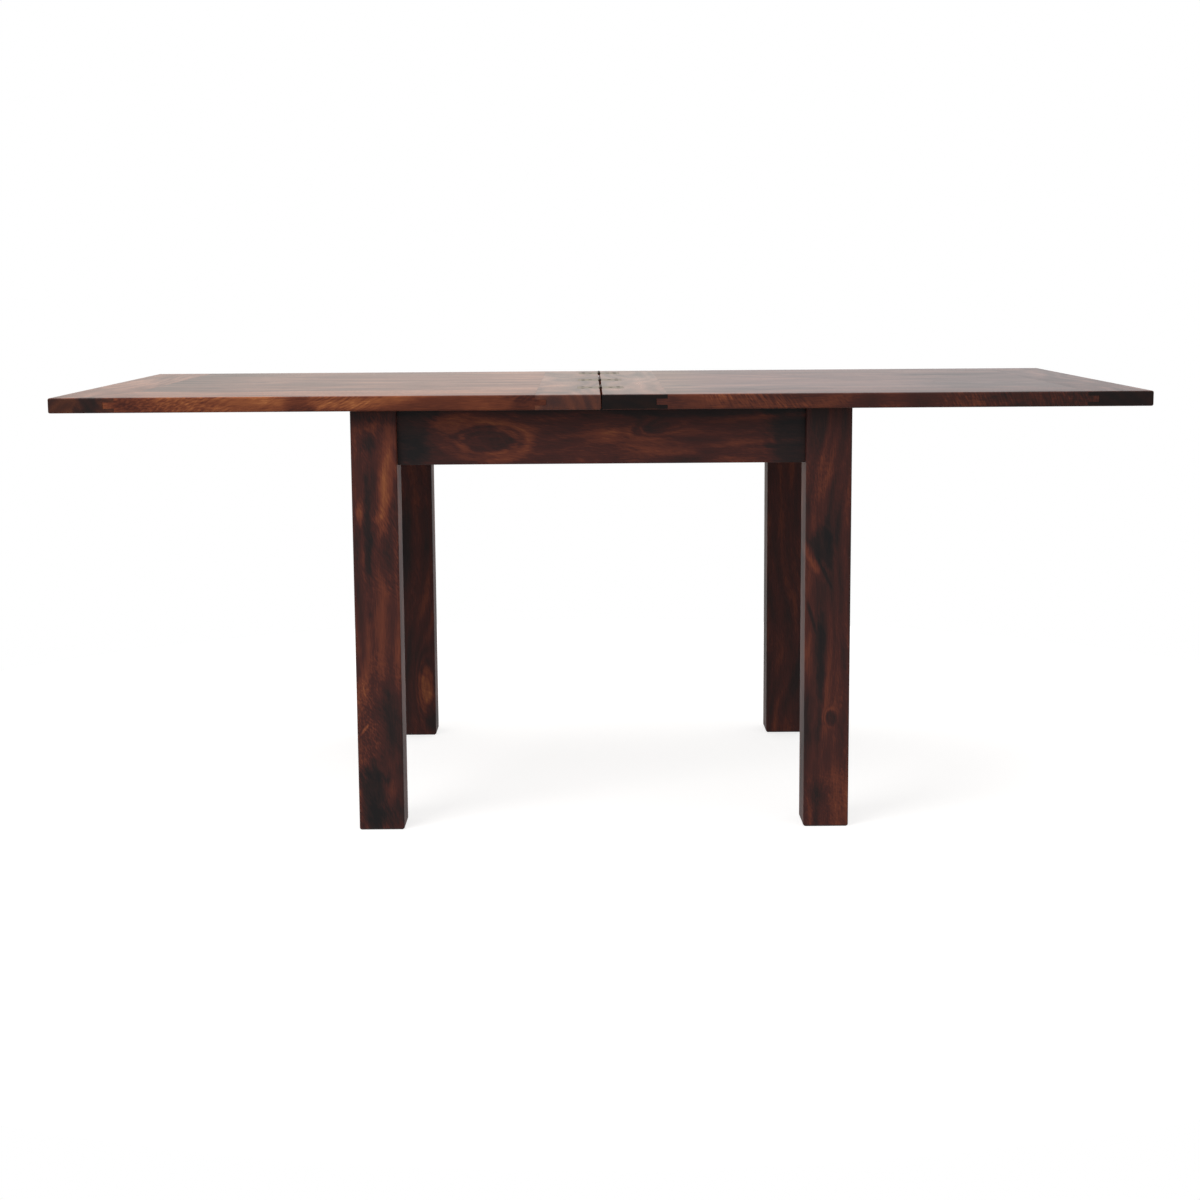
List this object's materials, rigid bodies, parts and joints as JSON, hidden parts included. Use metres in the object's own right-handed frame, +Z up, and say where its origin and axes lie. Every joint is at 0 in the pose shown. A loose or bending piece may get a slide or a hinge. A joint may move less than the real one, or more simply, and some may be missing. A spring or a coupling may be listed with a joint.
{
  "type": "fold-over dining table",
  "caption": "Square wooden dining table with a hinged double top that turns on an off-centre pivot and unfolds like a book to twice its length.",
  "frame": {"origin": "on the floor under the middle of the open top, which is the middle of the four legs", "axes": "+X along the open top towards the leaf that folds, +Y to the back, +Z up"},
  "size_m": [1.8, 0.9, 0.7382],
  "materials": {
    "leaf_wood": "dark stained hardwood, gloss lacquer",
    "frame_wood": "dark stained hardwood, gloss lacquer",
    "block_wood": "plain sawn hardwood",
    "hinge_brass": "aged satin",
    "zinc_steel": "zinc plated",
    "felt": "wool felt",
    "nylon": "turned nylon"
  },
  "bodies": {
    "base": {"leg_front_left": "frame_wood", "leg_front_right": "frame_wood", "leg_back_left": "frame_wood", "leg_back_right": "frame_wood", "apron_front": "frame_wood", "apron_back": "frame_wood", "apron_left": "frame_wood", "apron_right": "frame_wood", "corner_block_front_left": "block_wood", "corner_block_front_right": "block_wood", "corner_block_back_left": "block_wood", "corner_block_back_right": "block_wood", "hanger_bolts": "zinc_steel", "bolt_washers": "zinc_steel", "bolt_nuts": "zinc_steel", "block_screws": "zinc_steel", "pivot_rail": "block_wood", "pivot_bush": "nylon", "felt_pads": "felt"},
    "lower_leaf": {"left_leaf_board_1": "leaf_wood", "left_leaf_board_2": "leaf_wood", "left_leaf_board_3": "leaf_wood", "left_leaf_board_4": "leaf_wood", "left_leaf_board_5": "leaf_wood", "left_seam_board": "leaf_wood", "left_end_board": "leaf_wood", "front_hinge_left_plate": "hinge_brass", "middle_hinge_left_plate": "hinge_brass", "back_hinge_left_plate": "hinge_brass", "hinge_pins": "hinge_brass", "left_hinge_screws": "hinge_brass", "pivot_plate": "zinc_steel", "pivot_plate_screws": "zinc_steel", "stop_pin": "zinc_steel", "pivot_washer": "zinc_steel", "pivot_nut": "zinc_steel"},
    "flip_leaf": {"right_leaf_board_1": "leaf_wood", "right_leaf_board_2": "leaf_wood", "right_leaf_board_3": "leaf_wood", "right_leaf_board_4": "leaf_wood", "right_leaf_board_5": "leaf_wood", "right_seam_board": "leaf_wood", "right_end_board": "leaf_wood", "front_hinge_right_plate": "hinge_brass", "middle_hinge_right_plate": "hinge_brass", "back_hinge_right_plate": "hinge_brass", "right_hinge_screws": "hinge_brass"}
  },
  "joints": [
    {"name": "top_swivel", "type": "hinge", "parent": "base", "child": "lower_leaf", "pos_m": [-0.22525, 0.22525, 0.708], "axis": [0, 0, 1], "range_deg": [0, 90]},
    {"name": "leaf_fold", "type": "hinge", "parent": "lower_leaf", "child": "flip_leaf", "pos_m": [0, 0, 0.7355], "axis": [0, -1, 0], "range_deg": [0, 180]}
  ]
}
